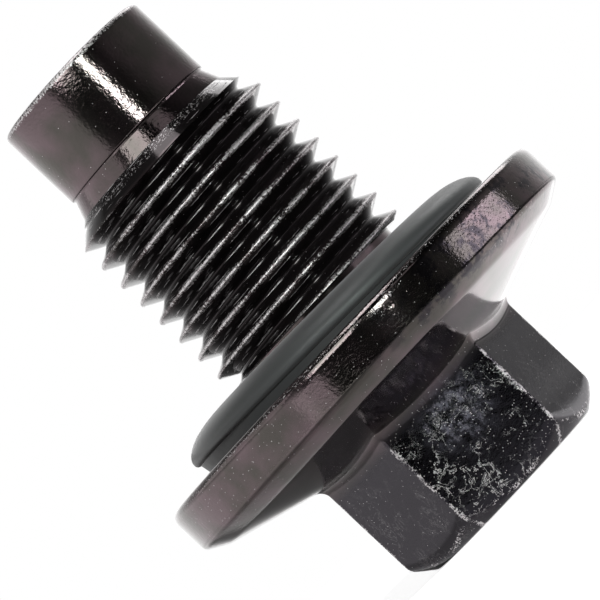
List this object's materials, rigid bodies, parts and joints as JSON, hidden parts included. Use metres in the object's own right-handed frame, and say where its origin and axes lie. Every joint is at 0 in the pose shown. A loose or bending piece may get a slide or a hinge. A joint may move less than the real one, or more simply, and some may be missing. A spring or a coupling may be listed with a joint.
{
  "type": "oil drain plug",
  "caption": "Threaded drain plug with a hexagon head, a wide conical flange, a plain pilot and a rubber sealing ring.",
  "frame": {"origin": "on the plug's axis, in the plane of the head's end", "axes": "+Z along the axis from the head towards the pilot; two of the head's flats face -Y and +Y"},
  "size_m": [0.029, 0.029, 0.0345],
  "materials": {
    "black_plated_steel": "black zinc plating, glossy, worn at the edges",
    "black_rubber": "moulded nitrile rubber, satin"
  },
  "bodies": {
    "root": {"plug_body": "black_plated_steel", "sealing_ring": "black_rubber"}
  },
  "joints": []
}
